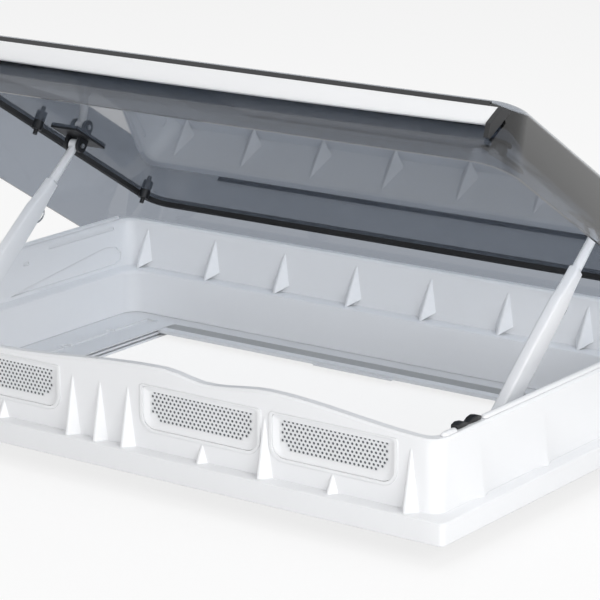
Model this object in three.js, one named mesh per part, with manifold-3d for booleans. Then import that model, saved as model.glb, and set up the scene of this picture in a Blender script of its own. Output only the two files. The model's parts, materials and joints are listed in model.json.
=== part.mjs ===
// Deck hatch: a white moulded frame with a hinged, double glazed smoked lid.
// Millimetres. X runs along the hinge, Y from the front to the hinge, Z up.
// Every piece is drawn with the lid closed and the deck at Z = 0; the lid group then opens.
import * as THREE from 'three';
import { mergeVertices } from 'three/addons/utils/BufferGeometryUtils.js';
import Module from 'manifold-3d';

const wasm = await Module();
wasm.setup();

// ---------------------------------------------------------------- driving dimensions
const GAP = 0.3;                 // between pieces that touch

// frame moulding
const FRAME_WIDTH = 940;         // over the deck flange, along X
const FRAME_DEPTH = 638;         // over the deck flange, along Y
const FLANGE_HEIGHT = 25;
const FLANGE_CORNER = 6;
const WALL_HEIGHT = 105.6;       // deck to the top of the plain walls
const WALL_INSET = 18;           // flange edge to the wall's outer face
const WALL_TOP_WIDTH = 14;
const SKIN = 3.5;                // moulding thickness
const LEDGE_INSET = 60;
const LEDGE_HEIGHT = 46;
const COLLAR_INSET = 65;         // flange edge to the collar's inner face
const COLLAR_DROP = 12;          // collar below the deck
const CREST_RISE = 15.6;         // raised front wall above the plain walls
const GASKET_HEIGHT = 8;

// vent grilles in the front wall
const GRILLE_CENTRES = [-318.5, -141, 141, 318.5];
const WINDOW_WIDTH = 158;
const WINDOW_HEIGHT = 48;
const WINDOW_BOTTOM = 50;
const WINDOW_CORNER = 15;
const GRILLE_LAP = [6, 3];       // grille edge behind the wall, at its sides and top
const GRILLE_THICKNESS = 2.5;

// ribs
const FRONT_RIBS = [-40, 0, 40, -229, 229, -418, 418];
const LOW_RIBS = [-318.5, -144, 144, 318.5];
const BACK_RIBS = [57.4, 172.2, 287, 401.8];
const SIDE_RIBS = [-220, -90, 40, 170];

// interior trim and blinds
const TRIM_DEPTH = 11.5;
const TRIM_OPENING = [632, 464]; // clear size of the trim ring
const BLIND_BAR = [13, 4.5];     // pull bar depth and height
const PLEAT_DEPTH = 21;
const TRACK_GROOVE = 7;          // depth of the grooves the bar ends run in

// lid
const HINGE = { y: 309, z: 32.5, pin: 2, bore: 2.3, knuckle: 4.6 };
const OPEN_ANGLE = 31.3;         // degrees from closed to the modelled position
const LID_SHEET = 3.5;
const LID_RIM = { halfX: 487, front: -349, back: 337, z: 51.4, corner: 40 };
const LID_SHOULDER = { halfX: 451, front: -300.5, back: 308.4, z: 134, corner: 27 };
const LID_RIDGE = { halfX: 401, front: -250, back: 250, z: 148.3, corner: 16 };
const LID_CROWN = 152;
const PANE_HEIGHT = 127;         // underside of the inner pane
const PANE_THICKNESS = 3;
const PANE_CORNER = 29;
const SEAL_WIDTH = 10;
const SEAL_HEIGHT = 5.2;

// stay arms
const ARM_X = 390;
const ARM_LENGTH = 286;          // upper pivot to the peg
const ARM_TAIL = 13;             // past the peg
const ARM_THICKNESS = 14;
const ARM_PIVOT = { y: 42, z: 114 };
const ARM_PIN_RADIUS = 3;
const PEG_RADIUS = 5.2;
const PEG_HEIGHT = 56;           // the arm's lower peg above the deck
const TRACK_SLACK = 2;           // above and below the peg
const TRACK_ENDS = [-262, -80];

// latches
const LATCH = { x: 405, y: -232, hub: 9, drop: 22 };

// front bar
const BAR_LENGTH = 890;
const BAR_HEIGHT = 25;
const BAR_DEPTH = 13;
const BAR_TOP = 122;

const halfW = FRAME_WIDTH / 2;
const halfD = FRAME_DEPTH / 2;

// ---------------------------------------------------------------- finishes
const finish = (color, roughness, metalness = 0, opacity = 1) =>
  new THREE.MeshStandardMaterial({ color, roughness, metalness, opacity, transparent: opacity < 1 });
const white = finish(0xf1f2f4, 0.42);
const trimWhite = finish(0xe9eaec, 0.5);
const smoked = finish(0x5d646c, 0.06, 0, 0.5);
const black = finish(0x15161a, 0.5);
const rubber = finish(0x101114, 0.8);
const steel = finish(0xb9bcc0, 0.25, 1);
const grilleGrey = finish(0xe4e5e7, 0.5);
const fabric = finish(0xc9cbcd, 0.9);

// ---------------------------------------------------------------- solids
function toSolid(geometry) {
  const plain = geometry.clone();
  for (const name of Object.keys(plain.attributes)) {
    if (name !== 'position') plain.deleteAttribute(name);
  }
  const merged = mergeVertices(plain, 1e-4);
  const mesh = new wasm.Mesh({
    numProp: 3,
    vertProperties: new Float32Array(merged.attributes.position.array),
    triVerts: new Uint32Array(merged.index.array),
  });
  return new wasm.Manifold(mesh);
}

function toGeometry(solid) {
  const mesh = solid.getMesh();
  const geometry = new THREE.BufferGeometry();
  geometry.setAttribute('position', new THREE.BufferAttribute(new Float32Array(mesh.vertProperties), 3));
  geometry.setIndex(new THREE.BufferAttribute(new Uint32Array(mesh.triVerts), 1));
  geometry.computeVertexNormals();
  return geometry;
}

function join(first, ...others) {
  return toGeometry(others.reduce((all, g) => all.add(toSolid(g)), toSolid(first)));
}

function cut(body, ...tools) {
  return toGeometry(tools.reduce((left, g) => left.subtract(toSolid(g)), toSolid(body)));
}

function block(x0, x1, y0, y1, z0, z1) {
  const geometry = new THREE.BoxGeometry(x1 - x0, y1 - y0, z1 - z0);
  return geometry.translate((x0 + x1) / 2, (y0 + y1) / 2, (z0 + z1) / 2);
}

// a prism along X whose outline is a list of [y, z]
function alongX(outline, x0, x1) {
  const shape = new THREE.Shape(outline.map(([y, z]) => new THREE.Vector2(y, z)));
  const geometry = new THREE.ExtrudeGeometry(shape, { depth: x1 - x0, bevelEnabled: false });
  const turn = new THREE.Matrix4().makeBasis(
    new THREE.Vector3(0, 1, 0), new THREE.Vector3(0, 0, 1), new THREE.Vector3(1, 0, 0));
  return geometry.applyMatrix4(turn).translate(x0, 0, 0);
}

function rodX(radius, x0, x1, y, z, sides = 16) {
  const geometry = new THREE.CylinderGeometry(radius, radius, x1 - x0, sides);
  return geometry.rotateZ(Math.PI / 2).translate((x0 + x1) / 2, y, z);
}

function rodZ(radius, z0, z1, x, y, sides = 20) {
  const geometry = new THREE.CylinderGeometry(radius, radius, z1 - z0, sides);
  return geometry.rotateX(Math.PI / 2).translate(x, y, (z0 + z1) / 2);
}

// one corner-rounded rectangle, counter-clockwise from the front left; `stops` are extra
// points along the front side
function ring(halfX, front, back, z, corner, stops = 0, steps = 5) {
  const points = [];
  const corners = [
    [-halfX + corner, front + corner, Math.PI],
    [halfX - corner, front + corner, -Math.PI / 2],
    [halfX - corner, back - corner, 0],
    [-halfX + corner, back - corner, Math.PI / 2],
  ];
  corners.forEach(([x, y, start], side) => {
    for (let i = 0; i <= steps; i++) {
      const a = start + (i / steps) * (Math.PI / 2);
      points.push(new THREE.Vector3(x + corner * Math.cos(a), y + corner * Math.sin(a), z));
    }
    if (side === 0) {
      for (let i = 1; i <= stops; i++) {
        const t = i / (stops + 1);
        points.push(new THREE.Vector3(THREE.MathUtils.lerp(x, halfX - corner, t), front, z));
      }
    }
  });
  return points;
}

// skins the rings in order; without caps the last ring joins the first
function skin(rings, caps = null) {
  const count = rings[0].length;
  const vertices = rings.flat();
  const index = [];
  const last = caps ? rings.length - 1 : rings.length;
  for (let r = 0; r < last; r++) {
    const a = r * count;
    const b = ((r + 1) % rings.length) * count;
    for (let i = 0; i < count; i++) {
      const j = (i + 1) % count;
      index.push(a + i, a + j, b + j, a + i, b + j, b + i);
    }
  }
  if (caps) {
    const first = vertices.push(caps[0]) - 1;
    const end = vertices.push(caps[1]) - 1;
    const top = (rings.length - 1) * count;
    for (let i = 0; i < count; i++) {
      const j = (i + 1) % count;
      index.push(first, j, i, end, top + i, top + j);
    }
  }
  const geometry = new THREE.BufferGeometry().setFromPoints(vertices);
  geometry.setIndex(index);
  geometry.computeVertexNormals();
  return geometry;
}

// ---------------------------------------------------------------- scene graph
const hatch = new THREE.Group();
const onDeck = new THREE.Group();
hatch.add(onDeck);

function piece(parent, name, geometry, material) {
  const mesh = new THREE.Mesh(geometry, material);
  mesh.name = name;
  parent.add(mesh);
  return mesh;
}

const sides = [['left', -1], ['right', 1]];

// ---------------------------------------------------------------- frame moulding
const ease = (t) => t * t * (3 - 2 * t);

// how far the front wall's top stands above the plain walls at x
function crest(x) {
  const knots = [[-halfW, 0], [-170, 0], [88, 1], [148, 0.5], [232, 0.98], [445, 0], [halfW, 0]];
  for (let i = 1; i < knots.length; i++) {
    const [x0, h0] = knots[i - 1];
    const [x1, h1] = knots[i];
    if (x <= x1) return CREST_RISE * (h0 + (h1 - h0) * ease((x - x0) / (x1 - x0)));
  }
  return 0;
}

function frameSection() {
  const top = WALL_HEIGHT;
  const inner = WALL_INSET + WALL_TOP_WIDTH;
  // [inset, height, corner radius, share of the front crest]
  return [
    [0, 0, FLANGE_CORNER, 0], [0, FLANGE_HEIGHT - 1.5, FLANGE_CORNER, 0],
    [1.5, FLANGE_HEIGHT, FLANGE_CORNER, 0], [WALL_INSET, FLANGE_HEIGHT, 18, 0],
    [WALL_INSET, top - 3, 18, 1], [WALL_INSET + 2.5, top, 17, 1],
    [inner - 2.5, top, 15, 1], [inner, top - 3, 15, 1],
    [inner + 9, LEDGE_HEIGHT + 9, 20, 0], [inner + 13, LEDGE_HEIGHT, 23, 0],
    [LEDGE_INSET, LEDGE_HEIGHT, 25, 0], [COLLAR_INSET - 1.5, LEDGE_HEIGHT - 1.5, 23, 0],
    [COLLAR_INSET, LEDGE_HEIGHT - 5, 22, 0], [COLLAR_INSET, -COLLAR_DROP, 22, 0],
    [COLLAR_INSET - SKIN, -COLLAR_DROP, 25, 0], [COLLAR_INSET - SKIN, LEDGE_HEIGHT - 5, 25, 0],
    [LEDGE_INSET - 1, LEDGE_HEIGHT - SKIN, 27, 0], [inner + 12, LEDGE_HEIGHT - SKIN, 23, 0],
    [inner + 9 - SKIN, LEDGE_HEIGHT + 6, 20, 0], [inner - SKIN, top - SKIN - 2, 15, 1],
    [inner - SKIN - 1, top - SKIN, 15, 1], [WALL_INSET + SKIN, top - SKIN, 16, 1],
    [WALL_INSET + SKIN, FLANGE_HEIGHT - SKIN, 16, 0], [SKIN, FLANGE_HEIGHT - SKIN, FLANGE_CORNER, 0],
    [SKIN, 0, FLANGE_CORNER, 0],
  ];
}

function frameShell() {
  const rings = frameSection().map(([inset, z, corner, share]) => {
    const points = ring(halfW - inset, inset - halfD, halfD - inset, z, corner, 47);
    for (const p of points) {
      if (p.y < 0 && share > 0) p.z += share * crest(p.x);
    }
    return points;
  });
  return skin(rings);
}

// a wedge rib: wide at its foot, a point at its top. `face` and `nose` are the wall and
// the rib's edge at the foot, `out` is +1 or -1 along Y
function wedge(x, face, nose, foot, apex, width, topFace, faceFoot = foot) {
  const noseWidth = 2.5;
  const corners = [
    [x - width / 2, face, faceFoot], [x + width / 2, face, faceFoot],
    [x + noseWidth / 2, nose, foot], [x - noseWidth / 2, nose, foot],
    [x - 1, topFace, apex], [x + 1, topFace, apex],
  ].map(([a, b, c]) => new THREE.Vector3(a, b, c));
  const out = Math.sign(nose - face);
  const faces = [
    [0, 1, 2], [0, 2, 3], [3, 2, 5], [3, 5, 4], [0, 3, 4], [1, 5, 2], [0, 4, 5], [0, 5, 1],
  ];
  const index = faces.flatMap(([a, b, c]) => (out < 0 ? [a, b, c] : [a, c, b]));
  const geometry = new THREE.BufferGeometry().setFromPoints(corners);
  geometry.setIndex(index);
  return geometry;
}

function windowShape(width, height, corner) {
  const shape = new THREE.Shape();
  const w = width / 2;
  shape.moveTo(-w + corner, 0);
  shape.lineTo(w - corner, 0);
  shape.absarc(w - corner, corner, corner, -Math.PI / 2, 0, false);
  shape.lineTo(w, height - 4);
  shape.absarc(w - 4, height - 4, 4, 0, Math.PI / 2, false);
  shape.lineTo(-w + 4, height);
  shape.absarc(-w + 4, height - 4, 4, Math.PI / 2, Math.PI, false);
  shape.lineTo(-w, corner);
  shape.absarc(-w + corner, corner, corner, Math.PI, 1.5 * Math.PI, false);
  return shape;
}

// a plate with a window's outline, standing in the XZ plane between two Y values
function upright(width, height, corner, x, z, y0, y1) {
  const options = { depth: y1 - y0, bevelEnabled: false, curveSegments: 5 };
  const geometry = new THREE.ExtrudeGeometry(windowShape(width, height, corner), options);
  return geometry.rotateX(Math.PI / 2).translate(x, y1, z);
}

// shallow recesses inside the side walls: a tapered one for the folded arm, a slot under
// the bead and a small pocket between them
function armRecesses() {
  const shapes = [
    [[[30, 50], [246, 50], [258, 54], [262, 63], [254, 72], [236, 75], [218, 73.5]], 1.8],
    [[[121, 95], [255, 95], [255, 98.5], [121, 98.5]], 1.5],
    [[[67, 83], [78, 83], [78, 87], [67, 87]], 2.4],
  ];
  const lean = 9 / (WALL_HEIGHT - 3 - LEDGE_HEIGHT - 9);
  const foot = halfW - WALL_INSET - WALL_TOP_WIDTH - 9;
  return sides.flatMap(([, s]) => shapes.map(([outline, depth]) => {
    const tool = alongX(outline, Math.min(s * depth, -s * 14), Math.max(s * depth, -s * 14));
    const slope = new THREE.Matrix4().set(
      1, 0, s * lean, s * (foot - lean * (LEDGE_HEIGHT + 9)), 0, 1, 0, 0, 0, 0, 1, 0, 0, 0, 0, 1);
    return tool.applyMatrix4(slope);
  }));
}

function makeFrame() {
  const outerY = -(halfD - WALL_INSET);
  const innerY = halfD - WALL_INSET - WALL_TOP_WIDTH;
  const ribs = [];
  for (const x of FRONT_RIBS) {
    ribs.push(wedge(x, outerY + 1, outerY - 13, FLANGE_HEIGHT - 1, 96, 24, outerY + 0.6));
  }
  for (const x of LOW_RIBS) {
    ribs.push(wedge(x, outerY + 1, outerY - 10, FLANGE_HEIGHT - 1, WINDOW_BOTTOM - 4, 18, outerY + 0.6));
  }
  for (const x of BACK_RIBS.flatMap((v) => [-v, v])) {
    const foot = halfD - LEDGE_INSET + 1;
    ribs.push(wedge(x, innerY - 9, foot, LEDGE_HEIGHT - 0.5, 99, 26, innerY + 0.4, 54));
  }
  for (const [, s] of sides) {
    for (const y of SIDE_RIBS) {
      const rib = wedge(0, outerY + 1, outerY - 6, FLANGE_HEIGHT - 1, 92, 40, outerY + 0.6);
      rib.rotateZ(s * Math.PI / 2).translate(s * (halfW - halfD), y, 0);
      ribs.push(rib);
    }
  }
  const windows = GRILLE_CENTRES.map((x) =>
    upright(WINDOW_WIDTH, WINDOW_HEIGHT, WINDOW_CORNER, x, WINDOW_BOTTOM,
      outerY - 3, outerY + SKIN + 1));
  const rims = GRILLE_CENTRES.map((x) => upright(WINDOW_WIDTH + 8, WINDOW_HEIGHT + 6, WINDOW_CORNER + 4,
    x, WINDOW_BOTTOM - 4, outerY - 1.2, outerY + 1));
  return cut(join(frameShell(), ...ribs, ...rims), ...windows, ...armRecesses());
}

piece(onDeck, 'outer_frame', makeFrame(), white);

// foam gasket that fills the flange's hollow underside
function makeGasket() {
  const rings = [[SKIN + 1, 0], [SKIN + 1, GASKET_HEIGHT], [COLLAR_INSET - SKIN - 1, GASKET_HEIGHT],
    [COLLAR_INSET - SKIN - 1, 0]];
  return skin(rings.map(([inset, z]) =>
    ring(halfW - inset, inset - halfD, halfD - inset, z, inset < 10 ? 5 : 24)));
}
piece(onDeck, 'deck_gasket', makeGasket(), rubber);

GRILLE_CENTRES.forEach((x, i) => {
  const y0 = -(halfD - WALL_INSET) + SKIN + GAP;
  const [lap, topLap] = GRILLE_LAP;
  const plate = upright(WINDOW_WIDTH + 2 * lap, WINDOW_HEIGHT + lap + topLap, WINDOW_CORNER,
    x, WINDOW_BOTTOM - lap, y0, y0 + GRILLE_THICKNESS);
  piece(onDeck, `vent_grille_${i + 1}`, plate, grilleGrey);
});

// raised beads along the side walls' tops, each in two lengths around its catch
const CATCH_LENGTH = 46;
const BEAD_RADIUS = 4.2;
for (const [side, s] of sides) {
  const x = s * (halfW - WALL_INSET - WALL_TOP_WIDTH / 2);
  const spans = {
    front: [-284, LATCH.y - CATCH_LENGTH / 2 - 3],
    rear: [LATCH.y + CATCH_LENGTH / 2 + 3, 276],
  };
  for (const [part, [y0, y1]] of Object.entries(spans)) {
    const bead = new THREE.CapsuleGeometry(BEAD_RADIUS, y1 - y0 - 2 * BEAD_RADIUS, 4, 12);
    bead.translate(x, (y0 + y1) / 2, WALL_HEIGHT + GAP);
    const top = block(x - 20, x + 20, y0 - 1, y1 + 1, WALL_HEIGHT + GAP, WALL_HEIGHT + 20);
    piece(onDeck, `side_bead_${side}_${part}`, toGeometry(toSolid(bead).intersect(toSolid(top))), white);
  }
}

// black catches on the side walls that the latches turn under
for (const [side, s] of sides) {
  const wallTop = WALL_HEIGHT + GAP;
  const outer = halfW - WALL_INSET - 3;
  const inner = halfW - WALL_INSET - WALL_TOP_WIDTH - 17;
  const y0 = LATCH.y - CATCH_LENGTH / 2;
  const y1 = LATCH.y + CATCH_LENGTH / 2;
  const plate = alongX([[y0, wallTop], [y1, wallTop], [y1 - 4, wallTop + 6], [y0 + 4, wallTop + 6]],
    Math.min(s * inner, s * outer), Math.max(s * inner, s * outer));
  piece(onDeck, `lid_catch_${side}`, plate, black);
}

// ---------------------------------------------------------------- interior trim and blinds
const trimTop = -COLLAR_DROP - GAP;
const trimBottom = trimTop - TRIM_DEPTH;
const clearX = TRIM_OPENING[0] / 2;
const clearY = TRIM_OPENING[1] / 2;
const levels = {
  blind: { top: trimTop, groove: [trimTop - 1.2 - 2.4, trimTop - 1.2], end: 1 },
  screen: { top: trimTop - BLIND_BAR[1] - 1, groove: [trimTop - 8.6, trimTop - 6.2], end: -1 },
};

function makeTrim() {
  const edge = COLLAR_INSET - SKIN;
  const rings = [
    ring(halfW - edge, edge - halfD, halfD - edge, trimBottom, 28),
    ring(halfW - edge, edge - halfD, halfD - edge, trimTop, 28),
    ring(clearX, -clearY, clearY, trimTop, 1.5),
    ring(clearX, -clearY, clearY, trimBottom, 1.5),
  ];
  const grooves = Object.values(levels).map(({ groove }) =>
    block(-clearX - TRACK_GROOVE, clearX + TRACK_GROOVE, -clearY + 4, clearY - 4, groove[0], groove[1]));
  const steps = [];
  for (const [, s] of sides) {
    const x0 = Math.min(s * (clearX + 26), s * (clearX + 46));
    steps.push(block(x0, x0 + 20, -clearY, clearY, trimTop - 3, trimTop + 1));
    for (const y of [-150, 60, 150]) {
      steps.push(block(x0 - 8, x0 + 4, y, y + 14, trimTop - 3, trimTop + 1));
    }
  }
  return cut(skin(rings), ...grooves, ...steps);
}
piece(onDeck, 'trim_frame', makeTrim(), trimWhite);

// pleated blind and flyscreen, each folded against one end and drawn by its own bar
for (const [kind, { top, groove, end }] of Object.entries(levels)) {
  const height = BLIND_BAR[1];
  const near = clearY - GAP - PLEAT_DEPTH;
  const stack = block(-clearX + 2, clearX - 2, end > 0 ? near : -clearY + GAP,
    end > 0 ? clearY - GAP : -near, top - height, top);
  piece(onDeck, `${kind}_pleats`, stack, fabric);
  const y0 = end > 0 ? near - GAP - BLIND_BAR[0] : -near + GAP;
  const barBody = block(-clearX + 2, clearX - 2, y0, y0 + BLIND_BAR[0], top - height, top);
  const tongue = block(-clearX - TRACK_GROOVE + 1, clearX + TRACK_GROOVE - 1, y0 + 1,
    y0 + BLIND_BAR[0] - 1, groove[0] + GAP, groove[1] - GAP);
  const grip = block(-60, 60, end > 0 ? y0 - 5 : y0 + BLIND_BAR[0] - 1,
    end > 0 ? y0 + 1 : y0 + BLIND_BAR[0] + 5, top - height, top - height + 2);
  piece(onDeck, `${kind}_pull_bar`, join(barBody, tongue, grip), trimWhite);
}

// ---------------------------------------------------------------- stay arm tracks
for (const [side, s] of sides) {
  const low = PEG_HEIGHT - PEG_RADIUS - TRACK_SLACK;
  const high = PEG_HEIGHT + PEG_RADIUS + TRACK_SLACK;
  const inner = ARM_X + ARM_THICKNESS / 2 + 2;
  const web = inner + 12;
  const body = block(Math.min(s * inner, s * (web + 2.5)), Math.max(s * inner, s * (web + 2.5)),
    TRACK_ENDS[0], TRACK_ENDS[1], low - 2.5, high + 2.5);
  const slot = block(Math.min(s * (inner - 1), s * web), Math.max(s * (inner - 1), s * web),
    TRACK_ENDS[0] + 3, TRACK_ENDS[1] - 3, low, high);
  const foot = block(Math.min(s * (inner + 1), s * (web + 2.5)), Math.max(s * (inner + 1), s * (web + 2.5)),
    TRACK_ENDS[0], TRACK_ENDS[1], LEDGE_HEIGHT + GAP, low - 2);
  piece(onDeck, `arm_track_${side}`, cut(join(body, foot), slot), trimWhite);
}

// ---------------------------------------------------------------- rear hinge
const HINGE_STATIONS = [-300, 0, 300];
const KNUCKLE_LENGTH = 44;

function makeHingeBase() {
  const floor = FLANGE_HEIGHT + GAP;
  const back = halfD - 0.5;
  const base = block(-360, 360, back - 13, back, floor, floor + 1.8);
  const bodies = [];
  for (const x of HINGE_STATIONS) {
    for (const s of [-1, 1]) {
      const x0 = x + s * (KNUCKLE_LENGTH / 2 + GAP + 11) - 11;
      bodies.push(rodX(HINGE.knuckle, x0, x0 + 22, HINGE.y, HINGE.z));
      bodies.push(block(x0, x0 + 22, HINGE.y, HINGE.y + HINGE.knuckle, floor + 1, HINGE.z));
    }
  }
  return cut(join(base, ...bodies), rodX(HINGE.bore, -400, 400, HINGE.y, HINGE.z));
}
piece(onDeck, 'hinge_base', makeHingeBase(), black);
piece(onDeck, 'hinge_pin', rodX(HINGE.pin, -372, 372, HINGE.y, HINGE.z), steel);

// ---------------------------------------------------------------- lid
const lidTurn = new THREE.Group();
lidTurn.position.set(0, HINGE.y, HINGE.z);
lidTurn.rotation.x = THREE.MathUtils.degToRad(-OPEN_ANGLE);
onDeck.add(lidTurn);
const lid = new THREE.Group();
lid.position.set(0, -HINGE.y, -HINGE.z);
lidTurn.add(lid);

// the lid's outside between the rim (t = 0) and the shoulder (t = 1), drawn in by `sheet`
function lidRing(a, b, t, sheet, drop) {
  const mix = (key) => THREE.MathUtils.lerp(a[key], b[key], t);
  return ring(mix('halfX') - sheet, mix('front') + sheet, mix('back') - sheet,
    mix('z') - drop, mix('corner'), 0, 10);
}

function makeDome() {
  const outside = [
    lidRing(LID_RIM, LID_SHOULDER, 0, 0, 0), lidRing(LID_RIM, LID_SHOULDER, 0.94, 0, 0),
    lidRing(LID_SHOULDER, LID_RIDGE, 0.04, 0, -0.8), lidRing(LID_SHOULDER, LID_RIDGE, 0.2, 0, -1.2),
    lidRing(LID_SHOULDER, LID_RIDGE, 0.93, 0, 0), lidRing(LID_SHOULDER, LID_RIDGE, 1.06, 0, 0.4),
  ];
  const inside = [
    lidRing(LID_RIM, LID_SHOULDER, 0, LID_SHEET, 0), lidRing(LID_RIM, LID_SHOULDER, 0.97, LID_SHEET, 0),
    lidRing(LID_SHOULDER, LID_RIDGE, 0.2, LID_SHEET, 1.6), lidRing(LID_SHOULDER, LID_RIDGE, 0.93, 2, 3.4),
    lidRing(LID_SHOULDER, LID_RIDGE, 1.06, 1, 3.8),
  ];
  const caps = [new THREE.Vector3(0, 0, LID_CROWN - LID_SHEET), new THREE.Vector3(0, 0, LID_CROWN)];
  return skin([...inside.reverse(), ...outside], caps);
}
piece(lid, 'outer_dome', makeDome(), smoked);

// the lid skirt's outer face at height z, for one of its sides
const skirtAt = (key, z) =>
  THREE.MathUtils.mapLinear(z, LID_RIM.z, LID_SHOULDER.z, LID_RIM[key], LID_SHOULDER[key]);

const paneBottom = PANE_HEIGHT;
const paneTop = PANE_HEIGHT + PANE_THICKNESS;
const paneHalf = skirtAt('halfX', paneTop) - LID_SHEET - GAP;
const paneFront = skirtAt('front', paneTop) + LID_SHEET + GAP;
const paneBack = skirtAt('back', paneTop) - LID_SHEET - GAP;

function slab(inset, z0, z1, corner) {
  const make = (z) => ring(paneHalf - inset, paneFront + inset, paneBack - inset, z, corner, 0, 10);
  const middle = (paneFront + paneBack) / 2;
  return skin([make(z0), make(z1)], [new THREE.Vector3(0, middle, z0), new THREE.Vector3(0, middle, z1)]);
}
piece(lid, 'inner_pane', slab(0, paneBottom, paneTop, PANE_CORNER), smoked);

const sealTop = paneBottom - GAP;
const sealLine = [[-1.2, sealTop - SEAL_HEIGHT], [-1.2, sealTop], [SEAL_WIDTH, sealTop],
  [SEAL_WIDTH - 3, sealTop - SEAL_HEIGHT]];
piece(lid, 'pane_seal', skin(sealLine.map(([inset, z]) =>
  ring(paneHalf - inset, paneFront + inset, paneBack - inset, z, PANE_CORNER - inset / 2, 0, 10))), rubber);

function makeHingeLeaf() {
  const skirtY = (z) => skirtAt('back', z) - LID_SHEET - 1.2 * GAP;
  const low = LID_RIM.z + 6;
  const high = low + 22;
  const strip = alongX([[skirtY(low) - 3, low], [skirtY(low), low], [skirtY(high), high],
    [skirtY(high) - 3, high]], -366, 366);
  const arms = [];
  for (const x of HINGE_STATIONS) {
    const x0 = x - KNUCKLE_LENGTH / 2;
    const x1 = x + KNUCKLE_LENGTH / 2;
    arms.push(rodX(HINGE.knuckle, x0, x1, HINGE.y, HINGE.z));
    arms.push(alongX([[HINGE.y - 1, HINGE.z + 1], [HINGE.y + 3.5, HINGE.z - 2], [skirtY(low) - 0.4, low + 1],
      [skirtY(low) - 3, low + 4]], x0, x1));
  }
  return cut(join(strip, ...arms), rodX(HINGE.bore, -400, 400, HINGE.y, HINGE.z));
}
piece(lid, 'hinge_leaf', makeHingeLeaf(), black);

// screws with knurled nuts that clamp the pane's edge, two a side
const STUD_Y = [0, 253];
for (const [side, s] of sides) {
  STUD_Y.forEach((y, i) => {
    const x = s * (paneHalf - SEAL_WIDTH - 14);
    const nut = rodZ(7, paneBottom - GAP - 12, paneBottom - GAP, x, y);
    const stem = rodZ(3, paneBottom - GAP - 19, paneBottom - GAP - 11, x, y, 12);
    piece(lid, `pane_screw_${side}_${i + 1}`, join(nut, stem), black);
  });
}

// ---------------------------------------------------------------- stay arm brackets on the lid
const BRACKET_TOP = paneBottom - GAP;
for (const [side, s] of sides) {
  const plate = block(s * ARM_X - 22, s * ARM_X + 22, ARM_PIVOT.y - 32, ARM_PIVOT.y + 32,
    BRACKET_TOP - 3, BRACKET_TOP);
  const ears = [-1, 1].map((e) => {
    const x0 = s * ARM_X + e * (ARM_THICKNESS / 2 + 0.8 + 2) - 2;
    return join(
      block(x0, x0 + 4, ARM_PIVOT.y - 9, ARM_PIVOT.y + 9, ARM_PIVOT.z, BRACKET_TOP - 2),
      rodX(9, x0, x0 + 4, ARM_PIVOT.y, ARM_PIVOT.z, 20));
  });
  const bores = rodX(ARM_PIN_RADIUS + 0.3, s * ARM_X - 30, s * ARM_X + 30, ARM_PIVOT.y, ARM_PIVOT.z);
  piece(lid, `arm_bracket_${side}`, cut(join(plate, ...ears), bores), black);
}

// ---------------------------------------------------------------- front bar
// the bar's lower edge bows down towards its middle
const barBottom = (x) => BAR_TOP - BAR_HEIGHT - 4 * (1 - (2 * x / BAR_LENGTH) ** 2);

function makeFrontBar() {
  const count = 24;
  const sections = [];
  for (let i = 0; i <= count; i++) {
    const x = -BAR_LENGTH / 2 + (BAR_LENGTH * i) / count;
    const z0 = barBottom(x);
    const outline = [];
    const middle = (z0 + BAR_TOP) / 2;
    const half = (BAR_TOP - z0) / 2;
    for (let k = 0; k < 14; k++) {
      const a = (k / 14) * 2 * Math.PI;
      const up = half * Math.sign(Math.sin(a)) * Math.abs(Math.sin(a)) ** 0.7;
      const forward = (BAR_DEPTH / 2) * Math.sign(Math.cos(a)) * Math.abs(Math.cos(a)) ** 0.7;
      const z = middle + up;
      outline.push(new THREE.Vector3(x, skirtAt('front', z) - 3 - BAR_DEPTH / 2 - forward, z));
    }
    sections.push(outline);
  }
  const middleZ = BAR_TOP - 14;
  const middleY = skirtAt('front', middleZ) - 3 - BAR_DEPTH / 2;
  const centre = (x) => new THREE.Vector3(x, middleY, middleZ);
  return skin(sections.reverse(), [centre(BAR_LENGTH / 2), centre(-BAR_LENGTH / 2)]);
}
piece(lid, 'front_bar', makeFrontBar(), white);

for (const [side, s] of sides) {
  const x0 = s * (BAR_LENGTH / 2 + GAP);
  const x1 = x0 + s * 6;
  const z0 = BAR_TOP - BAR_HEIGHT - 14;
  const z1 = BAR_TOP + 1;
  const face = (z, off) => [skirtAt('front', z) - off, z];
  const nose = BAR_DEPTH + 3;
  const outline = [face(z0, GAP), face(z1, GAP), face(z1 - 2, nose), face(z0 + 14, nose), face(z0, 4)];
  const plate = alongX(outline, Math.min(x0, x1), Math.max(x0, x1));
  piece(lid, `bar_bracket_${side}`, plate, black);
}

// ---------------------------------------------------------------- turn latches on the lid
for (const [side, s] of sides) {
  const base = rodZ(LATCH.hub + 4, BRACKET_TOP - 4, BRACKET_TOP, s * LATCH.x, LATCH.y, 24);
  piece(lid, `latch_base_${side}`, base, black);
  const top = BRACKET_TOP - 4 - GAP;
  const bottom = top - LATCH.drop;
  const hub = rodZ(LATCH.hub, bottom, top, s * LATCH.x, LATCH.y, 24);
  const lever = block(s * LATCH.x - 6, s * LATCH.x + 6, LATCH.y, LATCH.y + 52, bottom, bottom + 7);
  const tongue = block(s * LATCH.x - 5, s * LATCH.x + 5, LATCH.y - 27, LATCH.y, bottom + 0.5, bottom + 4.5);
  piece(lid, `latch_handle_${side}`, join(hub, lever, tongue), black);
}

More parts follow.
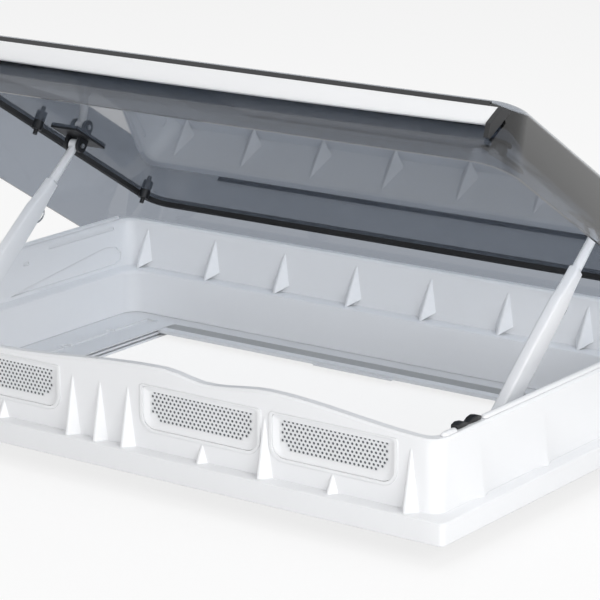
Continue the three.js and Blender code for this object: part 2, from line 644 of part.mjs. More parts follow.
// ---------------------------------------------------------------- stay arms
// where the upper pivot is with the lid open
const open = THREE.MathUtils.degToRad(OPEN_ANGLE);
const reachY = ARM_PIVOT.y - HINGE.y;
const reachZ = ARM_PIVOT.z - HINGE.z;
const pivot = new THREE.Vector2(
  HINGE.y + reachY * Math.cos(open) + reachZ * Math.sin(open),
  HINGE.z - reachY * Math.sin(open) + reachZ * Math.cos(open));
const armAngle = Math.asin((pivot.y - PEG_HEIGHT) / ARM_LENGTH);

function armOutline() {
  // half widths along the arm, from below the head to past the peg
  const shape = new THREE.Shape();
  const start = 62;
  const end = ARM_LENGTH + ARM_TAIL;
  shape.moveTo(start, -7.5);
  shape.quadraticCurveTo(start + 26, -8, start + 48, -12);
  shape.lineTo(start + 120, -14);
  shape.lineTo(end - 12, -13);
  shape.quadraticCurveTo(end, -12, end, 0);
  shape.quadraticCurveTo(end, 12, end - 12, 13);
  shape.lineTo(start + 120, 14);
  shape.lineTo(start + 48, 12);
  shape.quadraticCurveTo(start + 26, 8, start, 7.5);
  return shape;
}

// small wire hook that keeps the folded arm from rattling
function wireHook() {
  const path = new THREE.CatmullRomCurve3([
    new THREE.Vector3(120, 12.9, 0), new THREE.Vector3(115, 18, 0), new THREE.Vector3(104, 20, 0),
    new THREE.Vector3(98, 16, 0), new THREE.Vector3(98, 11.2, 0),
  ]);
  const section = new THREE.Shape().absarc(0, 0, 1.1, 0, 2 * Math.PI, false);
  return new THREE.ExtrudeGeometry(section, { steps: 14, extrudePath: path, curveSegments: 4 });
}

// arm pieces are drawn along +X from the upper pivot, their thickness along Z
function placeArm(geometry, s) {
  const along = new THREE.Vector3(0, -Math.cos(armAngle), -Math.sin(armAngle));
  const through = new THREE.Vector3(1, 0, 0);
  const across = new THREE.Vector3().crossVectors(through, along);
  const place = new THREE.Matrix4().makeBasis(along, across, through);
  return geometry.applyMatrix4(place).translate(s * ARM_X, pivot.x, pivot.y);
}

for (const [side, s] of sides) {
  const bevel = 3;
  const thick = ARM_THICKNESS - 2 * bevel;
  const sleeve = new THREE.ExtrudeGeometry(armOutline(), {
    depth: thick, bevelEnabled: true, bevelThickness: bevel, bevelSize: bevel, bevelOffset: -bevel,
    bevelSegments: 3, curveSegments: 5,
  }).translate(0, 0, -thick / 2);
  piece(onDeck, `arm_sleeve_${side}`, placeArm(sleeve, s), white);

  const neck = new THREE.CylinderGeometry(5.5, 6.2, 56, 16).rotateZ(Math.PI / 2).translate(33.7, 0, 0);
  const eye = new THREE.CylinderGeometry(7.5, 7.5, 11, 20).rotateX(Math.PI / 2);
  const bore = new THREE.CylinderGeometry(ARM_PIN_RADIUS + 0.3, ARM_PIN_RADIUS + 0.3, 30, 16)
    .rotateX(Math.PI / 2);
  piece(onDeck, `arm_head_${side}`, placeArm(cut(join(eye, neck), bore), s), white);

  const pin = new THREE.CylinderGeometry(ARM_PIN_RADIUS, ARM_PIN_RADIUS, 27, 16).rotateX(Math.PI / 2);
  piece(onDeck, `arm_pin_${side}`, placeArm(pin, s), steel);

  // the peg's collar meets the arm and its end runs in the track
  const x0 = ARM_THICKNESS / 2 + GAP;
  const collar = new THREE.CylinderGeometry(2.6, 2.6, 4, 14)
    .rotateX(Math.PI / 2).translate(ARM_LENGTH, 0, s * (x0 + 2));
  const peg = new THREE.CylinderGeometry(PEG_RADIUS, PEG_RADIUS, 11, 20)
    .rotateX(Math.PI / 2).translate(ARM_LENGTH, 0, s * (x0 + 2 + 5.5));
  piece(onDeck, `arm_peg_${side}`, placeArm(join(peg, collar), s), black);

  piece(onDeck, `arm_hook_${side}`, placeArm(wireHook(), s), steel);
}

// ---------------------------------------------------------------- origin
// the middle of the footprint, on the surface that the hatch stands on
const bounds = new THREE.Box3().setFromObject(onDeck, true);
const middle = bounds.getCenter(new THREE.Vector3());
onDeck.position.set(-middle.x, -middle.y, -bounds.min.z);

export default hatch;
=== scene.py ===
"""Deck hatch: finishes, vent holes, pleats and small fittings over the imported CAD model."""
import json
import math

import bmesh
import bpy
from bpy.props import FloatProperty, FloatVectorProperty, IntProperty, PointerProperty, StringProperty
from mathutils import Matrix, Vector


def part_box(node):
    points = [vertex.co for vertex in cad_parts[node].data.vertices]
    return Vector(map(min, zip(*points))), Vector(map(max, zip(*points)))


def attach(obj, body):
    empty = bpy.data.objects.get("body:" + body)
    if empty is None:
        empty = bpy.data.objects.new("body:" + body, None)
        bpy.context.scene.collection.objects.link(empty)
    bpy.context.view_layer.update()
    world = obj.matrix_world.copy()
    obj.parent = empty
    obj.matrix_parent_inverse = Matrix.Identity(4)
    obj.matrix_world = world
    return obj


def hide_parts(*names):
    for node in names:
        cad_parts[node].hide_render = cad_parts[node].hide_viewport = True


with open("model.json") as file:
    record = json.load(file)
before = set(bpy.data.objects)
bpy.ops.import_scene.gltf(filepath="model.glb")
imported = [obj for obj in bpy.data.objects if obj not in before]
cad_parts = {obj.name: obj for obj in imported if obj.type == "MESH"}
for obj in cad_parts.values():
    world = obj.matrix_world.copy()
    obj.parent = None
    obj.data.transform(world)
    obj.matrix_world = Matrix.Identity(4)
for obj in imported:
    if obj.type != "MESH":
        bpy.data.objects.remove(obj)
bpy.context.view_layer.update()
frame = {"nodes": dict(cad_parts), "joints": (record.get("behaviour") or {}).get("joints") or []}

bl_info = {
    "name": "Deck hatch",
    "version": (1, 0, 0),
    "blender": (4, 5, 0),
    "location": "View3D > Sidebar > Deck hatch",
    "description": "Finishes a packed deck hatch: moulding, smoked lid, vent holes and blinds",
    "category": "Object",
}

MM = 0.001
SIDES = {"left": -1, "right": 1}
GRILLES = [f"vent_grille_{i}" for i in range(1, 5)]


def size(node):
    """Width, depth and height of a CAD node at rest."""
    low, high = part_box(node)
    return Vector(high) - Vector(low)


def middle(node):
    """Middle of a CAD node's box at rest."""
    low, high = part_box(node)
    return (Vector(low) + Vector(high)) / 2


LID_HINGE = next(j for j in frame["joints"] if j["name"] == "lid_hinge")
LID_ANGLE = -math.radians(LID_HINGE["range_deg"][0])
LID_TURN = (
    Matrix.Translation(LID_HINGE["pos_m"])
    @ Matrix.Rotation(-LID_ANGLE, 4, "X")
    @ Matrix.Translation([-v for v in LID_HINGE["pos_m"]])
)


# ---------------------------------------------------------------- settings
class HatchSettings(bpy.types.PropertyGroup):
    """Sizes and colours of the deck hatch that a user would change"""

    moulding_colour: StringProperty(
        name="Moulding", description="Colour of the white frame", default="#F1F2F4"
    )
    trim_colour: StringProperty(
        name="Trim", description="Colour of the inner trim ring", default="#E6E7E9"
    )
    acrylic_colour: StringProperty(
        name="Acrylic", description="Tint that a sheet gives light", default="#969CA5"
    )
    fitting_colour: StringProperty(
        name="Fittings", description="Colour of the black plastic fittings", default="#17181B"
    )
    fabric_colour: StringProperty(
        name="Blind fabric", description="Colour of the pleated fabric", default="#C6C8CA"
    )
    hole_pitch: FloatProperty(
        name="Hole pitch", description="Distance between vent holes", default=5.5 * MM,
        subtype="DISTANCE",
    )
    hole_size: FloatProperty(
        name="Hole size", description="Width of one vent hole", default=2.9 * MM, subtype="DISTANCE"
    )
    pleat_count: IntProperty(name="Pleats", description="Folds in each blind's pack", default=12)
    camera_target: FloatVectorProperty(
        name="Camera target", description="Point that the camera looks at",
        default=(0.0202, 0.0328, 0.1359), subtype="TRANSLATION",
    )
    camera_distance: FloatProperty(
        name="Camera distance", description="From the target to the camera", default=3.46,
        subtype="DISTANCE",
    )
    camera_azimuth: FloatProperty(
        name="Camera azimuth", description="Turn round the hatch", default=math.radians(35.85),
        subtype="ANGLE",
    )
    camera_elevation: FloatProperty(
        name="Camera elevation", description="Height above the horizon", default=math.radians(15.0),
        subtype="ANGLE",
    )


def settings():
    return bpy.context.scene.hatch_settings


# ---------------------------------------------------------------- colours and nodes
def linear(hex_colour):
    """An sRGB hex value as linear RGBA."""
    parts = [int(hex_colour[i:i + 2], 16) / 255 for i in (1, 3, 5)]
    return (*[p / 12.92 if p <= 0.04045 else ((p + 0.055) / 1.055) ** 2.4 for p in parts], 1.0)


def add_node(tree, kind, inputs=None, **attributes):
    """A node with its settings; an input given as a socket is linked."""
    node = tree.nodes.new(kind)
    for name, value in attributes.items():
        setattr(node, name, value)
    for key, value in (inputs or {}).items():
        if isinstance(value, bpy.types.NodeSocket):
            tree.links.new(value, node.inputs[key])
        else:
            node.inputs[key].default_value = value
    return node


def new_material(name):
    material = bpy.data.materials.new(name)
    material.use_nodes = True
    material.node_tree.nodes.clear()
    return material, material.node_tree


def seen_directly(tree):
    """1 for a ray from the camera, through the acrylic or off a gloss, and 0 for the light itself."""
    path = add_node(tree, "ShaderNodeLightPath").outputs
    seen = path["Is Camera Ray"]
    for other in ("Is Transmission Ray", "Is Glossy Ray"):
        either = add_node(tree, "ShaderNodeMath", {0: seen, 1: path[other]}, operation="MAXIMUM")
        seen = either.outputs[0]
    return seen


def finish_material(tree, shader):
    add_node(tree, "ShaderNodeOutputMaterial", {"Surface": shader})


def moulded_plastic(name, colour, roughness, grain_mm, grain_depth, edge_mm=0.0):
    """Injection moulded plastic: a fine orange-peel skin and a slightly cloudy gloss."""
    material, tree = new_material(name)
    place = add_node(tree, "ShaderNodeTexCoord").outputs["Object"]
    grain = add_node(
        tree, "ShaderNodeTexNoise", {"Vector": place, "Scale": 1 / (grain_mm * MM), "Detail": 2.0}
    )
    cloud = add_node(tree, "ShaderNodeTexNoise", {"Vector": place, "Scale": 9.0, "Detail": 3.0})
    gloss = add_node(
        tree, "ShaderNodeMapRange",
        {"Value": cloud.outputs["Fac"], "To Min": roughness * 0.85, "To Max": roughness * 1.2},
    )
    darker = [c * 0.965 for c in colour[:3]] + [1.0]
    # a colour mix shares its sockets' names with the other types, so 6 and 7 are its two colours
    tone = add_node(
        tree, "ShaderNodeMix", {0: cloud.outputs["Fac"], 6: colour, 7: darker}, data_type="RGBA"
    )
    bump_inputs = {"Height": grain.outputs["Fac"], "Distance": grain_depth * MM, "Strength": 0.35}
    if edge_mm:
        soft_edge = add_node(tree, "ShaderNodeBevel", {"Radius": edge_mm * MM}, samples=6)
        bump_inputs["Normal"] = soft_edge.outputs["Normal"]
    bump = add_node(tree, "ShaderNodeBump", bump_inputs)
    shader = add_node(
        tree, "ShaderNodeBsdfPrincipled",
        {
            "Base Color": tone.outputs[2], "Roughness": gloss.outputs["Result"],
            "Normal": bump.outputs["Normal"], "IOR": 1.5,
        },
    )
    finish_material(tree, shader.outputs["BSDF"])
    return material


def moulded_abs():
    # white ABS, injection moulded: satin, with soft edges that catch the light
    colour = linear(settings().moulding_colour)
    return moulded_plastic("moulded_abs", colour, 0.38, 1.6, 0.05, edge_mm=1.4)


def matt_abs():
    return moulded_plastic("matt_abs", linear(settings().trim_colour), 0.5, 0.9, 0.05, edge_mm=0.8)


def black_nylon():
    # glass-filled nylon: dark, with a slightly rough sheen
    colour = linear(settings().fitting_colour)
    return moulded_plastic("black_nylon", colour, 0.42, 0.7, 0.08, edge_mm=0.6)


def seal_rubber():
    return moulded_plastic("seal_rubber", linear("#101114"), 0.6, 0.8, 0.06)


def vent_shadow():
    # painted shade: a flat dark grey floor stands for the shade in the hollow behind each vent hole
    return moulded_plastic("vent_shadow", linear("#5A5D62"), 0.9, 1.0, 0.05)


def cast_acrylic():
    """Smoked cast acrylic: polished, tinted in the mass; lamps shine through it."""
    material, tree = new_material("smoked_cast_acrylic")
    tint = linear(settings().acrylic_colour)
    place = add_node(tree, "ShaderNodeTexCoord").outputs["Object"]
    wipe = add_node(tree, "ShaderNodeTexNoise", {"Vector": place, "Scale": 14.0, "Detail": 4.0})
    gloss = add_node(
        tree, "ShaderNodeMapRange", {"Value": wipe.outputs["Fac"], "To Min": 0.01, "To Max": 0.05}
    )
    glass = add_node(
        tree, "ShaderNodeBsdfPrincipled",
        {
            "Base Color": tint, "Roughness": gloss.outputs["Result"], "IOR": 1.49,
            "Transmission Weight": 1.0,
        },
    )
    clear = add_node(tree, "ShaderNodeBsdfTransparent", {"Color": linear("#EEF0F2")})
    path = add_node(tree, "ShaderNodeLightPath")
    mix = add_node(
        tree, "ShaderNodeMixShader",
        {0: path.outputs["Is Shadow Ray"], 1: glass.outputs[0], 2: clear.outputs[0]},
    )
    finish_material(tree, mix.outputs[0])
    return material


def drawn_steel():
    """Drawn stainless wire and rod: bright, with a fine noise in its gloss."""
    material, tree = new_material("drawn_steel")
    place = add_node(tree, "ShaderNodeTexCoord").outputs["Object"]
    lines = add_node(tree, "ShaderNodeTexNoise", {"Vector": place, "Scale": 900.0, "Detail": 2.0})
    gloss = add_node(
        tree, "ShaderNodeMapRange", {"Value": lines.outputs["Fac"], "To Min": 0.2, "To Max": 0.38}
    )
    shader = add_node(
        tree, "ShaderNodeBsdfPrincipled",
        {"Base Color": linear("#C4C6C9"), "Metallic": 1.0, "Roughness": gloss.outputs["Result"]},
    )
    finish_material(tree, shader.outputs["BSDF"])
    return material


def blind_cloth():
    """Pleated polyester: a fine plain weave. The threads are drawn at 0.8 mm so that they show."""
    material, tree = new_material("pleated_polyester")
    place = add_node(tree, "ShaderNodeTexCoord").outputs["Object"]
    thread = 0.8 * MM
    weave = add_node(
        tree, "ShaderNodeTexWave", {"Vector": place, "Scale": 1 / thread / 6.283, "Distortion": 0.4}
    )
    bump = add_node(
        tree, "ShaderNodeBump", {"Height": weave.outputs["Fac"], "Distance": 0.1 * MM, "Strength": 0.6}
    )
    shader = add_node(
        tree, "ShaderNodeBsdfPrincipled",
        {
            "Base Color": linear(settings().fabric_colour), "Roughness": 0.85, "Sheen Weight": 0.2,
            "Normal": bump.outputs["Normal"],
        },
    )
    finish_material(tree, shader.outputs["BSDF"])
    return material


MAKERS = {
    "moulding": moulded_abs, "trim": matt_abs, "fitting": black_nylon, "seal": seal_rubber,
    "vent": vent_shadow, "acrylic": cast_acrylic, "steel": drawn_steel, "cloth": blind_cloth,
}
made = {}


def material_of(finish):
    if finish not in made:
        made[finish] = MAKERS[finish]()
    return made[finish]


# ---------------------------------------------------------------- mesh helpers
def make_piece(name, bm, body, slot, *finishes):
    """Turns a finished bmesh into a piece that rides on a body."""
    mesh = bpy.data.meshes.new(name)
    bm.to_mesh(mesh)
    bm.free()
    piece = bpy.data.objects.new(name, mesh)
    bpy.context.scene.collection.objects.link(piece)
    for finish in finishes:
        mesh.materials.append(material_of(finish))
    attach(piece, body)
    return piece


def smooth_by_angle(bm, degrees):
    """Smooth faces, with an edge kept sharp where its faces turn more than the angle."""
    for face in bm.faces:
        face.smooth = True
    for edge in bm.edges:
        turned = len(edge.link_faces) == 2 and edge.calc_face_angle(0.0) > math.radians(degrees)
        edge.smooth = not turned


def smooth_copy(node, body, slot, finish, degrees=32):
    """A merged, smooth-shaded copy that stands for a faceted CAD node."""
    bm = bmesh.new()
    bm.from_mesh(frame["nodes"][node].data)
    bmesh.ops.remove_doubles(bm, verts=bm.verts, dist=0.002 * MM)
    bmesh.ops.dissolve_degenerate(bm, edges=bm.edges, dist=0.001 * MM)
    smooth_by_angle(bm, degrees)
    piece = make_piece(f"{node}_surface", bm, body, slot, finish)
    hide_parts(node)
    return piece


# ---------------------------------------------------------------- operators
SMOOTH_NODES = {
    "frame": {
        "outer_frame": ("frame_white", "moulding", 24),
        "side_bead_left_front": ("frame_white", "moulding", 40),
        "side_bead_left_rear": ("frame_white", "moulding", 40),
        "side_bead_right_front": ("frame_white", "moulding", 40),
        "side_bead_right_rear": ("frame_white", "moulding", 40),
        "trim_frame": ("trim_white", "trim", 30),
        "deck_gasket": ("black_rubber", "seal", 30),
        "hinge_base": ("black_plastic", "fitting", 35),
        "hinge_pin": ("steel", "steel", 35),
    },
    "lid": {
        "outer_dome": ("smoked_acrylic", "acrylic", 50),
        "inner_pane": ("smoked_acrylic", "acrylic", 30),
        "pane_seal": ("black_rubber", "seal", 30),
        "hinge_leaf": ("black_plastic", "fitting", 35),
        "front_bar": ("frame_white", "moulding", 50),
    },
}


class HATCH_OT_moulded_frame(bpy.types.Operator):
    """Smooth the frame moulding, its trim ring, beads and hinge"""

    bl_idname = "hatch.moulded_frame"
    bl_label = "Moulded frame"

    def execute(self, context):
        for node, (slot, finish, degrees) in SMOOTH_NODES["frame"].items():
            smooth_copy(node, "frame", slot, finish, degrees)
        for node in (*GRILLES, "arm_track_left", "arm_track_right"):
            self.refinish(node, "trim")
        for side in SIDES:
            self.catch(side)
        return {"FINISHED"}

    @staticmethod
    def catch(side):
        """A slim black clip, pinched at its waist, between the beads on a side wall."""
        node = f"lid_catch_{side}"
        low, high = (Vector(c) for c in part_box(node))
        bm = bmesh.new()
        bmesh.ops.create_cube(bm, size=1)
        along = [e for e in bm.edges if abs(e.verts[0].co.y - e.verts[1].co.y) > 0.5]
        bmesh.ops.subdivide_edges(bm, edges=along, cuts=5)
        for vert in bm.verts:
            tip = 0.3 if abs(vert.co.y) > 0.45 else 0.0
            waist = 0.35 + 0.65 * min(1.0, abs(vert.co.y) * 4.5) - tip
            vert.co.x *= 0.6 + 0.4 * waist
            if vert.co.z > 0:
                vert.co.z = -0.5 + waist
        place = (low + high) / 2 + Vector((SIDES[side] * 6 * MM, 0, 0))
        bmesh.ops.scale(bm, verts=bm.verts, vec=(10 * MM, high.y - low.y, high.z - low.z))
        bmesh.ops.translate(bm, verts=bm.verts, vec=place)
        bmesh.ops.bevel(
            bm, geom=bm.edges[:], offset=0.7 * MM, offset_type="OFFSET", segments=2, profile=0.5,
            affect="EDGES", material=-1, clamp_overlap=True,
        )
        smooth_by_angle(bm, 45)
        piece = make_piece(f"{node}_clip", bm, "frame", "black_plastic", "fitting")
        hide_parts(node)

    @staticmethod
    def refinish(node, finish):
        frame["nodes"][node].data.materials.clear()
        frame["nodes"][node].data.materials.append(material_of(finish))


# the plate's edge lies behind the wall at its sides and foot, and by less at its top
PLATE_LAP = 6 * MM
PLATE_TOP_LAP = 3 * MM
RECESS_DEPTH = 3.5 * MM
WINDOW_CORNERS = {"foot": (15 * MM, 6), "top": (4 * MM, 3)}     # radius and steps
MARGIN_STEPS = [(1.2, 0.25), (4.5, 2.4), (2.0, 0.5)]            # width and drop in mm, from the edge in
HOLE_FIELD_SIDE, HOLE_FIELD_FOOT, HOLE_FIELD_TOP = 15 * MM, 16.5 * MM, 4.5 * MM
SHEET_STAND_OFF = 0.95 * MM
PIT_DEPTH = 0.3 * MM


class HATCH_OT_vent_grilles(bpy.types.Operator):
    """Punch the staggered vent holes into the face of each grille"""

    bl_idname = "hatch.vent_grilles"
    bl_label = "Vent grilles"

    def execute(self, context):
        for node in GRILLES:
            self.perforate(node)
        return {"FINISHED"}

    def perforate(self, node):
        pitch = settings().hole_pitch
        low, high = (Vector(c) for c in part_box(node))
        self.surround(node, low, high)
        width = high.x - low.x - 2 * HOLE_FIELD_SIDE
        height = high.z - low.z - HOLE_FIELD_FOOT - HOLE_FIELD_TOP
        row_height = pitch * 0.8
        columns = int(width / pitch)
        rows = int(height / row_height)
        first_x = (low.x + high.x) / 2 - (columns - 0.5) * pitch / 2
        start = Vector((first_x, low.y - SHEET_STAND_OFF, low.z + HOLE_FIELD_FOOT))
        bm = bmesh.new()
        cell = self.cell(bm, pitch, row_height)
        for row in range(rows):
            # the last hole of the lowest rows is left out where the window's corner is round
            trim = max(0, 2 - row)
            for column in range(trim, columns - trim):
                copy = bmesh.ops.duplicate(bm, geom=cell)
                verts = [g for g in copy["geom"] if isinstance(g, bmesh.types.BMVert)]
                shift = Vector(((column + (row % 2) / 2) * pitch, 0, row * row_height))
                bmesh.ops.translate(bm, verts=verts, vec=start + shift)
        pattern = [g for g in cell if isinstance(g, bmesh.types.BMVert)]
        bmesh.ops.delete(bm, geom=pattern, context="VERTS")
        bmesh.ops.remove_doubles(bm, verts=bm.verts, dist=0.01 * MM)
        # the second finish, vent, is painted shade on the floors of the holes
        make_piece(f"{node}_holes", bm, "frame", "grille_white", "trim", "vent")

    def surround(self, node, low, high):
        """The recess's sloped margin, from the wall's face down to the plate."""
        play = 0.2 * MM
        bm = bmesh.new()
        bmesh.ops.create_grid(bm, x_segments=1, y_segments=1, size=0.5)
        bmesh.ops.rotate(bm, verts=bm.verts, matrix=Matrix.Rotation(math.pi / 2, 3, "X"))
        width = high.x - low.x - 2 * (PLATE_LAP + play)
        height = high.z - low.z - PLATE_LAP - PLATE_TOP_LAP - 2 * play
        bmesh.ops.scale(bm, verts=bm.verts, vec=(width, 1, height))
        centre_z = low.z + PLATE_LAP + height / 2 + play
        centre = ((low.x + high.x) / 2, low.y - RECESS_DEPTH, centre_z)
        bmesh.ops.translate(bm, verts=bm.verts, vec=centre)
        for place, (radius, steps) in WINDOW_CORNERS.items():
            corners = [v for v in bm.verts if (v.co.z < centre_z) == (place == "foot")]
            bmesh.ops.bevel(
                bm, geom=corners, offset=radius, offset_type="OFFSET", segments=steps, profile=0.5,
                affect="VERTICES", material=-1,
            )
        face = bm.faces[:][0]
        for step, drop in MARGIN_STEPS:
            bm.normal_update()
            bmesh.ops.inset_region(
                bm, faces=[face], thickness=step * MM, depth=-drop * MM, use_even_offset=False,
                use_boundary=True,
            )
        smooth_by_angle(bm, 60)
        make_piece(f"{node}_surround", bm, "frame", "frame_white", "moulding")

    def cell(self, bm, pitch, row_height):
        """One hole in its cell of the sheet, upright in the XZ plane, with its floor painted dark grey
        as the shade inside the hole.
        """
        made_here = bmesh.ops.create_grid(bm, x_segments=1, y_segments=1, size=0.5)
        bmesh.ops.scale(bm, verts=made_here["verts"], vec=(pitch, row_height, 1))
        bmesh.ops.rotate(bm, verts=made_here["verts"], matrix=Matrix.Rotation(math.pi / 2, 3, "X"))
        face = bm.faces[:][-1]
        rim = (row_height - settings().hole_size) / 2
        bmesh.ops.inset_region(bm, faces=[face], thickness=rim, use_even_offset=True, use_boundary=True)
        side_rim = (pitch - row_height) / 2
        for vert in face.verts:
            vert.co.x -= math.copysign(side_rim, vert.co.x)
        corner = settings().hole_size * 0.29
        bmesh.ops.bevel(
            bm, geom=list(face.verts), offset=corner, offset_type="OFFSET", segments=1, profile=0.5,
            affect="VERTICES", material=-1,
        )
        hole = max(bm.faces, key=lambda f: len(f.verts))
        pit = bmesh.ops.extrude_discrete_faces(bm, faces=[hole])["faces"][0]
        # the pit's floor takes the vent finish: painted shade for the hollow behind the hole
        pit.material_index = 1
        bmesh.ops.translate(bm, verts=pit.verts, vec=(0, PIT_DEPTH, 0))
        return bm.verts[:] + bm.edges[:] + bm.faces[:]


class HATCH_OT_smoked_lid(bpy.types.Operator):
    """Smooth the dome, its pane and seal, and the fittings on the lid"""

    bl_idname = "hatch.smoked_lid"
    bl_label = "Smoked lid"

    def execute(self, context):
        for node, (slot, finish, degrees) in SMOOTH_NODES["lid"].items():
            smooth_copy(node, "lid", slot, finish, degrees)
        for side in SIDES:
            screws = [f"pane_screw_{side}_{i}" for i in (1, 2)]
            fittings = [f"{kind}_{side}" for kind in ("arm_bracket", "latch_base", "bar_bracket")]
            for node in screws + fittings:
                smooth_copy(node, "lid", "black_plastic", "fitting", 35)
        return {"FINISHED"}


# the strip's foot and top on the lid's front face, with the lid closed
STRIP_FOOT = Vector((0, -328.9, 143.2)) * MM
STRIP_TOP = Vector((0, -321.6, 157.0)) * MM
STRIP_END = 66 * MM              # from the lid's side
STRIP_STAND_OFF, STRIP_THICKNESS = 0.4 * MM, 1.4 * MM


class HATCH_OT_ridge_strip(bpy.types.Operator):
    """Fit the black strip between the lid's front ridge and its white bar"""

    bl_idname = "hatch.ridge_strip"
    bl_label = "Ridge strip"

    def execute(self, context):
        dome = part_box("outer_dome")
        half = (dome[1][0] - dome[0][0]) / 2 - STRIP_END
        bm = bmesh.new()
        bmesh.ops.create_grid(bm, x_segments=8, y_segments=2, size=0.5)
        for vert in bm.verts:
            vert.co = Vector((vert.co.x * 2 * half, 0, 0)) + STRIP_FOOT.lerp(STRIP_TOP, vert.co.y + 0.5)
        bmesh.ops.translate(bm, verts=bm.verts, vec=(0, -STRIP_STAND_OFF, 0))
        bmesh.ops.recalc_face_normals(bm, faces=bm.faces)
        bmesh.ops.solidify(bm, geom=bm.faces[:], thickness=STRIP_THICKNESS)
        bmesh.ops.transform(bm, verts=bm.verts, matrix=LID_TURN)
        bmesh.ops.recalc_face_normals(bm, faces=bm.faces)
        make_piece("ridge_strip", bm, "lid", "black_plastic", "fitting")
        return {"FINISHED"}


class HATCH_OT_stay_arms(bpy.types.Operator):
    """Smooth both stay arms and their latches"""

    bl_idname = "hatch.stay_arms"
    bl_label = "Stay arms and latches"

    def execute(self, context):
        for side in SIDES:
            body = f"stay_arm_{side}"
            smooth_copy(f"arm_head_{side}", body, "frame_white", "moulding", 40)
            smooth_copy(f"arm_sleeve_{side}", body, "frame_white", "moulding", 45)
            smooth_copy(f"arm_peg_{side}", body, "black_plastic", "fitting", 35)
            smooth_copy(f"arm_pin_{side}", body, "steel", "steel", 35)
            smooth_copy(f"arm_hook_{side}", body, "steel", "steel", 50)
            smooth_copy(f"latch_handle_{side}", f"latch_{side}", "black_plastic", "fitting", 35)
        return {"FINISHED"}


class HATCH_OT_blinds(bpy.types.Operator):
    """Fold the pleats of the blind and the flyscreen and finish their bars"""

    bl_idname = "hatch.blinds"
    bl_label = "Blinds"

    def execute(self, context):
        for kind in ("blind", "screen"):
            self.pleats(kind)
            HATCH_OT_moulded_frame.refinish(f"{kind}_pull_bar", "trim")
        return {"FINISHED"}

    def pleats(self, kind):
        node = f"{kind}_pleats"
        low, high = (Vector(c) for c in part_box(node))
        count = settings().pleat_count * 2
        bm = bmesh.new()
        bmesh.ops.create_grid(bm, x_segments=2, y_segments=count, size=0.5)
        wall = 0.5 * MM
        for vert in bm.verts:
            row = round((vert.co.y + 0.5) * count)
            vert.co.x = middle(node).x + vert.co.x * size(node).x
            vert.co.y = low.y + wall + (vert.co.y + 0.5) * (size(node).y - 2 * wall)
            vert.co.z = low.z + wall if row % 2 else high.z - wall
        bmesh.ops.solidify(bm, geom=bm.faces[:], thickness=wall)
        bmesh.ops.recalc_face_normals(bm, faces=bm.faces)
        piece = make_piece(f"{kind}_folds", bm, "frame", "blind_fabric", "cloth")
        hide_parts(node)


CAMERA_LENS = 171.8              # focal length in mm


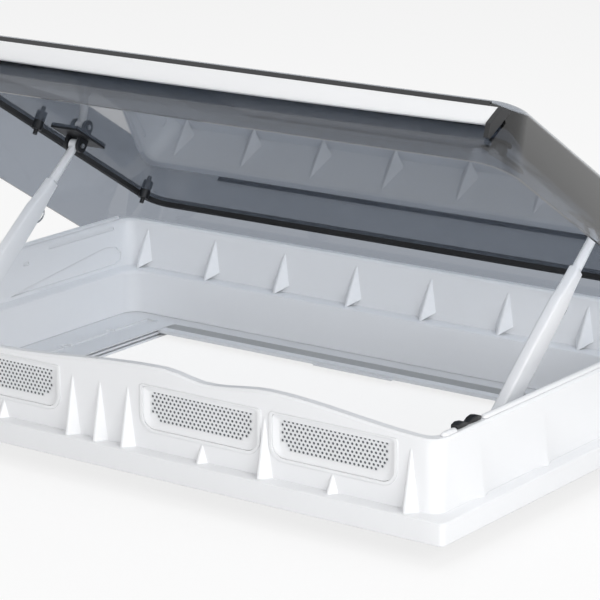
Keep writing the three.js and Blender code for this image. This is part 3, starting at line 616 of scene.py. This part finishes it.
class HATCH_OT_stage(bpy.types.Operator):
    """Set the floor, lamps, world and camera"""

    bl_idname = "hatch.stage"
    bl_label = "Stage"

    def execute(self, context):
        self.floor()
        self.world(context.scene)
        self.lamp("key", (3.0, -1.5, 1.5), 1.8, 56)
        self.lamp("front", (0.9, -3.3, 0.8), 2.0, 26)
        self.lamp("top", (0.2, 1.0, 3.2), 2.6, 46)
        self.camera(context.scene)
        context.scene.view_settings.view_transform = "Standard"
        return {"FINISHED"}

    @staticmethod
    def floor():
        bm = bmesh.new()
        bmesh.ops.create_grid(bm, x_segments=1, y_segments=1, size=14)
        mesh = bpy.data.meshes.new("floor")
        bm.to_mesh(mesh)
        bm.free()
        floor = bpy.data.objects.new("floor", mesh)
        bpy.context.scene.collection.objects.link(floor)
        material, tree = new_material("pale_floor")
        # a fifth of the floor is left matt to the eye, which keeps the hatch's shadow
        share = add_node(tree, "ShaderNodeMath", {0: seen_directly(tree), 1: 0.8}, operation="MULTIPLY")
        matt = add_node(tree, "ShaderNodeBsdfDiffuse", {"Color": linear("#F4F4F4")})
        bright = add_node(tree, "ShaderNodeEmission", {"Color": (1, 1, 1, 1), "Strength": 1.0})
        mix = add_node(
            tree, "ShaderNodeMixShader", {0: share.outputs[0], 1: matt.outputs[0], 2: bright.outputs[0]}
        )
        finish_material(tree, mix.outputs[0])
        mesh.materials.append(material)

    @staticmethod
    def world(scene):
        world = bpy.data.worlds.new("studio")
        scene.world = world
        world.use_nodes = True
        tree = world.node_tree
        tree.nodes.clear()
        strength = add_node(
            tree, "ShaderNodeMapRange", {"Value": seen_directly(tree), "To Min": 0.36, "To Max": 1.0}
        )
        light = add_node(
            tree, "ShaderNodeBackground",
            {"Color": (1, 1, 1, 1), "Strength": strength.outputs["Result"]},
        )
        add_node(tree, "ShaderNodeOutputWorld", {"Surface": light.outputs[0]})

    @staticmethod
    def lamp(name, place, width, power):
        data = bpy.data.lights.new(name, "AREA")
        data.size = width
        data.energy = power
        lamp = bpy.data.objects.new(name, data)
        bpy.context.scene.collection.objects.link(lamp)
        lamp.location = place
        lamp.visible_glossy = name != "top"
        aim = Vector((0, 0, 0.15)) - Vector(place)
        lamp.rotation_euler = aim.to_track_quat("-Z", "Y").to_euler()

    @staticmethod
    def camera(scene):
        s = settings()
        data = bpy.data.cameras.new("camera")
        data.sensor_width = 36
        data.lens = CAMERA_LENS
        data.clip_end = 100
        camera = bpy.data.objects.new("camera", data)
        scene.collection.objects.link(camera)
        back = Vector((
            math.sin(s.camera_azimuth) * math.cos(s.camera_elevation),
            -math.cos(s.camera_azimuth) * math.cos(s.camera_elevation),
            math.sin(s.camera_elevation),
        ))
        camera.location = Vector(s.camera_target) + back * s.camera_distance
        camera.rotation_euler = (-back).to_track_quat("-Z", "Y").to_euler()
        scene.camera = camera


OPERATORS = [
    HATCH_OT_moulded_frame, HATCH_OT_vent_grilles, HATCH_OT_smoked_lid, HATCH_OT_ridge_strip,
    HATCH_OT_stay_arms, HATCH_OT_blinds, HATCH_OT_stage,
]


class HATCH_PT_panel(bpy.types.Panel):
    """The steps that finish the hatch"""

    bl_label = "Deck hatch"
    bl_idname = "HATCH_PT_panel"
    bl_space_type = "VIEW_3D"
    bl_region_type = "UI"
    bl_category = "Deck hatch"

    def draw(self, context):
        for name in HatchSettings.__annotations__:
            self.layout.prop(context.scene.hatch_settings, name)
        for operator in OPERATORS:
            self.layout.operator(operator.bl_idname)


CLASSES = [HatchSettings, *OPERATORS, HATCH_PT_panel]


def register():
    for cls in CLASSES:
        bpy.utils.register_class(cls)
    bpy.types.Scene.hatch_settings = PointerProperty(type=HatchSettings)


def unregister():
    del bpy.types.Scene.hatch_settings
    for cls in reversed(CLASSES):
        bpy.utils.unregister_class(cls)


def main():
    register()
    bpy.ops.hatch.stage()
    bpy.ops.hatch.moulded_frame()
    bpy.ops.hatch.vent_grilles()
    bpy.ops.hatch.smoked_lid()
    bpy.ops.hatch.ridge_strip()
    bpy.ops.hatch.stay_arms()
    bpy.ops.hatch.blinds()


if __name__ == "__main__":
    main()
